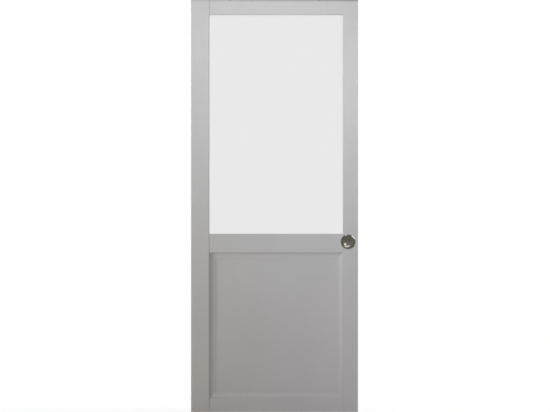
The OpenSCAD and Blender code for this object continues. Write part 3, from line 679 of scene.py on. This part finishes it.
# %% Tree of a hexagon
def hexagon_tree():
    """A hexagon up from each point, its corners turned off at both ends, with a hole if it has a radius."""
    tree, given, result = start_tree(
        "hexagons", Across_Flats=("Float", 13 * MM), Height=("Float", 6.5 * MM), Hole_Radius=("Float", 0.0),
        Finish=("Material", None))
    flat_r = calc(tree, "MULTIPLY", given["Across_Flats"], 0.5)
    corner_r = calc(tree, "DIVIDE", flat_r, math.cos(math.radians(30)))
    height = given["Height"]
    prism = cone(tree, corner_r, corner_r, height, steps=6)
    # A cone with 30 degree sides that just touches the flats at the end of the prism
    wide_r = calc(tree, "ADD", flat_r, calc(tree, "DIVIDE", height, math.tan(math.radians(30))))
    cutters = [cone(tree, wide_r, flat_r, height, steps=96), cone(tree, flat_r, wide_r, height, steps=96)]
    shape = prism
    for cutter in cutters:
        both = add(tree, "GeometryNodeMeshBoolean", operation="INTERSECT", solver="EXACT")
        for part in (shape, cutter):
            tree.links.new(part, both.inputs["Mesh 2"])
        shape = both.outputs["Mesh"]
    bore = lift(tree, cone(tree, given["Hole_Radius"], given["Hole_Radius"], calc(tree, "MULTIPLY", height, 3.0)),
                calc(tree, "MULTIPLY", height, -1.0))
    drilled = add(tree, "GeometryNodeMeshBoolean", {"Mesh 1": shape, "Mesh 2": bore},
                  operation="DIFFERENCE", solver="EXACT").outputs["Mesh"]
    hollow = add(tree, "FunctionNodeCompare", {0: given["Hole_Radius"], 1: 0.0}, operation="GREATER_THAN")
    chosen = add(tree, "GeometryNodeSwitch", {"Switch": hollow.outputs[0], "False": shape, "True": drilled},
                 input_type="GEOMETRY").outputs[0]
    plant(tree, given, result, chosen)
    return tree


# %% Tree of a threaded rod
def rod_tree():
    """A threaded rod up from each point."""
    tree, given, result = start_tree(
        "threaded_rods", Radius=("Float", 4 * MM), Pitch=("Float", 1.25 * MM), Length=("Float", 40 * MM),
        Finish=("Material", None))
    depth = calc(tree, "MULTIPLY", given["Pitch"], 0.5)
    core_r = calc(tree, "SUBTRACT", given["Radius"], depth)
    core = cone(tree, core_r, core_r, given["Length"])
    ridge_high = calc(tree, "SUBTRACT", given["Length"], given["Pitch"])
    ridge = thread(tree, core_r, given["Pitch"], ridge_high, given["Pitch"], depth)
    plant(tree, given, result, join(tree, core, ridge))
    return tree


# %% Make the bolts and nuts
BOLT_HEAD_H = 5.3 * MM
BOLT_R = 4 * MM
hexagons = hexagon_tree()
rods = rod_tree()
head_points, nut_points = [], []
for side in ("left", "right"):
    bolt_low, bolt_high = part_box(f"{side}_hanger_bolt")
    nut_low, nut_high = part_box(f"{side}_lock_nut")
    middle = (nut_low + nut_high) / 2
    head_points.append((middle.x, middle.y, bolt_low.z))
    nut_points.append((middle.x, middle.y, nut_low.z))
flats = nut_high.y - nut_low.y
rod_length = bolt_high.z - bolt_low.z - BOLT_HEAD_H / 2
rod_points = [(x, y, z + BOLT_HEAD_H / 2) for x, y, z in head_points]

bolt_heads = grow("hanger_bolt_heads", hexagons, head_points, Across_Flats=flats, Height=BOLT_HEAD_H,
                  Finish=finishes["steel"])
bolt_rods = grow("hanger_bolt_rods", rods, rod_points, Radius=BOLT_R, Length=rod_length, Finish=finishes["steel"])
lock_nuts = grow("turned_lock_nuts", hexagons, nut_points, Across_Flats=flats, Height=nut_high.z - nut_low.z,
                 Hole_Radius=BOLT_R, Finish=finishes["steel"])
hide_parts("left_hanger_bolt", "right_hanger_bolt")
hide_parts("left_lock_nut", "right_lock_nut")
for piece in (bolt_heads, bolt_rods, lock_nuts):
    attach(piece, "leaf")

# %% [markdown]
# ## Pins in the glazing beads
# The beads behind the glass are held by small pins, filled and painted over, so that only low round bumps show.
# They follow the four sides of the frame of beads, so a tree turns a rectangle into a curve, puts points along it
# at an even spacing and plants a flat dome on each.

# %% Tree of the pins
def pin_tree():
    """Low domes facing +y, spaced along the edges that are given."""
    tree, given, result = start_tree(
        "bead_pins", Spacing=("Float", 0.15), Radius=("Float", 1.1 * MM), Height=("Float", 0.25 * MM),
        Finish=("Material", None))
    path = add(tree, "GeometryNodeMeshToCurve", {"Mesh": given["Geometry"]}).outputs[0]
    spaced = add(tree, "GeometryNodeResampleCurve", {"Curve": path, "Length": given["Spacing"]}, mode="LENGTH")
    ball = add(tree, "GeometryNodeMeshUVSphere", {"Segments": 20, "Rings": 10, "Radius": 1.0}).outputs["Mesh"]
    size = add(tree, "ShaderNodeCombineXYZ", {"X": given["Radius"], "Y": given["Height"], "Z": given["Radius"]})
    dome = add(tree, "GeometryNodeTransform", {"Geometry": ball, "Scale": size.outputs[0]}).outputs[0]
    smooth = add(tree, "GeometryNodeSetShadeSmooth", {"Geometry": dome}).outputs[0]
    plant(tree, given, result, smooth, Points=spaced.outputs[0])
    return tree


# %% Plant the pins
PIN_INSET = 3 * MM
bead_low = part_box("glazing_bead_left")[0]
bead_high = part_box("glazing_bead_right")[1]
x0, x1 = bead_low.x + PIN_INSET, bead_high.x - PIN_INSET
z0, z1 = bead_low.z + PIN_INSET, bead_high.z - PIN_INSET
corners = [(x0, bead_high.y, z0), (x1, bead_high.y, z0), (x1, bead_high.y, z1), (x0, bead_high.y, z1)]
bead_pins = grow("bead_pins", pin_tree(), corners, [(0, 1), (1, 2), (2, 3), (3, 0)], Finish=paint_upright)
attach(bead_pins, "leaf")

# %% [markdown]
# ## Camera
# The door is seen square on from a long way off, with a long lens, so that its edges stay parallel. The leaf fills
# the height of the picture, which sets the scale, and it stands half a pixel left of the middle.

# %% Camera
IMAGE_W = 550
METRES_PER_PIXEL = 0.00495
LEAF_OFFSET_PX = 0.5
CAMERA_DISTANCE = 15.0

camera_data = bpy.data.cameras.new("camera")
camera_data.lens = camera_data.sensor_width * CAMERA_DISTANCE / (IMAGE_W * METRES_PER_PIXEL)
camera = bpy.data.objects.new("camera", camera_data)
camera.location = (
    leaf_middle.x + LEAF_OFFSET_PX * METRES_PER_PIXEL, leaf_low.y - CAMERA_DISTANCE, leaf_middle.z)
camera.rotation_euler = (math.radians(90), 0, 0)
bpy.context.scene.collection.objects.link(camera)
bpy.context.scene.camera = camera
print("lens in mm:", round(camera_data.lens, 2))

# %% [markdown]
# ## Lamps
# The light on the real door comes from above. A large lamp in front of its upper half makes the tone fall from top
# to bottom, and three smaller ones lift the upper corners and the lower right. Low sun from the left side draws the
# shadows of the mouldings, and a weak skylight that rakes down the face catches the lower one. Two weak warm lamps
# tint the lower left corner, as light does that a floor throws back. Two more give the pulls their highlights. They
# only show in reflections and shine on nothing else. A fill lights the back.

# %% Lamp helpers
NO_MIRROR = ("glossy", "transmission")
MIRROR_ONLY = ("diffuse", "transmission")


def lamp(name, kind, place, aim, energy, hidden_from=(), **settings):
    """A lamp at place that looks at aim. It is never seen itself, and hidden_from names other rays that miss it."""
    data = bpy.data.lights.new(name, kind)
    data.energy = energy
    for key, value in settings.items():
        setattr(data, key, value)
    light = bpy.data.objects.new(name, data)
    light.location = place
    light.rotation_euler = (Vector(aim) - Vector(place)).to_track_quat("-Z", "Y").to_euler()
    for ray in ("camera", *hidden_from):
        setattr(light, "visible_" + ray, False)
    bpy.context.scene.collection.objects.link(light)
    return light


def facing_lamp(name, x, z, ahead, energy, size, **settings):
    """A round lamp in front of the leaf that faces it squarely, at x from the middle of the leaf."""
    place = Vector((leaf_middle.x + x, leaf_low.y - ahead, z))
    aim = place + Vector((0, 1, 0))
    return lamp(name, "AREA", place, aim, energy, NO_MIRROR, shape="DISK", size=size, **settings)


# %% Light the leaf
SUN_SIZE = math.radians(20)
# x from the middle of the leaf, height, distance ahead, power in watts and diameter
facing_lamp("key", 0.70, 1.63, 1.78, 12.8, 0.8)
facing_lamp("upper_left", -0.35, 1.97, 1.20, 8.9, 0.5)
facing_lamp("upper_right", 0.45, 1.70, 0.70, 1.30, 0.4)
facing_lamp("low_right", 0.50, 0.30, 0.90, 1.08, 0.4, color=(0.93, 0.79, 1.0))
facing_lamp("warm_bounce", -0.52, 0.30, 0.64, 0.39, 0.3, color=(1.0, 0.84, 0.48))
facing_lamp("red_bounce", -0.45, 0.02, 0.35, 0.040, 0.2, color=(1.0, 0.12, 0.0))
lamp("side_sun", "SUN", leaf_middle + Vector((-2.4, -1.0, -0.2)), leaf_middle, 2.55, NO_MIRROR, angle=SUN_SIZE)
lamp("skylight", "SUN", leaf_middle + Vector((0, -0.12, 1)), leaf_middle, 1.0, NO_MIRROR, angle=SUN_SIZE)
print("lamps on the front:", [light.name for light in bpy.data.lights])

# %% Light the pulls and the back
glint = lamp("glint", "AREA", pull_middle + Vector((1.43, -1.66, 1.20)), pull_middle, 20, MIRROR_ONLY,
             shape="DISK", size=1.15)
strip = lamp("strip", "AREA", pull_middle + Vector((0.65, -1.25, 2.45)), pull_middle, 42, MIRROR_ONLY,
             shape="RECTANGLE", size=3.9, size_y=0.6)
for light in (glint, strip):
    light.light_linking.receiver_collection = turned_pulls
lamp("rear_fill", "AREA", (leaf_middle.x, 2.2, 1.9), leaf_middle, 60, NO_MIRROR,
     shape="DISK", size=1.2)
print("lamps in all:", [light.name for light in bpy.data.lights])

# %% [markdown]
# ## White room and pale floor
# The background is plain white where it is looked at, mirrored or seen through glass, but it lights the door only
# with a soft part of that, so the lamps keep their modelling. The floor is pale and takes the door's shadow, and
# away from the door it fades into the white. In a mirror it is darker than the room, as a real floor is.

# %% White room
AMBIENT = 0.04


def looked_at(tree, mirrored):
    """1 for rays from the camera or through glass, and from a mirror if that is wanted, or else 0."""
    path = add(tree, "ShaderNodeLightPath").outputs
    seen = calc(tree, "MAXIMUM", path["Is Camera Ray"], path["Is Transmission Ray"])
    return calc(tree, "MAXIMUM", seen, path["Is Glossy Ray"]) if mirrored else seen


def white_room():
    """A world that is white to look at and dimmer as a light."""
    world = bpy.data.worlds.new("white_room")
    world.use_nodes = True
    tree = world.node_tree
    tree.nodes.clear()
    soft = add(tree, "ShaderNodeBackground", {"Color": (1, 1, 1, 1), "Strength": AMBIENT}).outputs[0]
    white = add(tree, "ShaderNodeBackground", {"Color": (1, 1, 1, 1), "Strength": 1.0}).outputs[0]
    mixed = add(tree, "ShaderNodeMixShader", {0: looked_at(tree, True), 1: soft, 2: white}).outputs[0]
    add(tree, "ShaderNodeOutputWorld", {"Surface": mixed})
    return world


bpy.context.scene.world = white_room()
print("the room lights the door at a strength of", AMBIENT)

# %% Pale floor
FLOOR_HALF = 4.0
FLOOR_FADE = (1.4, 0.6, 1.0)
FLOOR_FADE_END = 0.8
FLOOR_WHITE_NEAR = 0.8
FLOOR_MIRRORED = 0.55


def floor_finish():
    """A pale matt floor that fades to white away from the door."""
    material, tree, shader, place = start_finish("pale_floor", Roughness=0.7)
    tint = noise(tree, place, (0.5, 0.5, 0.5))
    tree.links.new(colours(tree, tint, (0.74, 0.73, 0.71), (0.77, 0.76, 0.74)), shader.inputs["Base Color"])
    near = add(tree, "ShaderNodeMapping", {"Vector": place, "Scale": [1 / side for side in FLOOR_FADE]})
    ball = add(tree, "ShaderNodeTexGradient", {"Vector": near.outputs[0]}, gradient_type="SPHERICAL")
    fade = spread(tree, ball.outputs["Fac"], 1.0, FLOOR_WHITE_NEAR, 0.0, FLOOR_FADE_END)
    white = add(tree, "ShaderNodeEmission", {"Strength": 1.0}).outputs[0]
    mirrored = calc(tree, "MULTIPLY", add(tree, "ShaderNodeLightPath").outputs["Is Glossy Ray"], FLOOR_MIRRORED)
    share = calc(tree, "MAXIMUM", calc(tree, "MULTIPLY", looked_at(tree, False), fade), mirrored)
    mixed = add(tree, "ShaderNodeMixShader", {0: share, 1: shader.outputs[0], 2: white}).outputs[0]
    tree.links.new(mixed, tree.nodes["Material Output"].inputs["Surface"])
    return material


# %% Lay the floor
floor_mesh = bpy.data.meshes.new("floor")
floor_corners = [(sx * FLOOR_HALF, sy * FLOOR_HALF, 0) for sx, sy in ((-1, -1), (1, -1), (1, 1), (-1, 1))]
floor_mesh.from_pydata(floor_corners, [], [(0, 1, 2, 3)])
floor_mesh.materials.append(floor_finish())
floor = bpy.data.objects.new("floor", floor_mesh)
bpy.context.scene.collection.objects.link(floor)
floor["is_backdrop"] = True
bpy.context.scene.view_settings.view_transform = "Standard"
print("floor half width in metres:", FLOOR_HALF)

# %% [markdown]
# ## The dressed size
# Dressing must not change the size of the door, so the box of the dressed door, without the floor, is printed.

# %% Print the dressed size
low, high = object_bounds()
print("dressed size in metres:", [round(side, 4) for side in high - low])
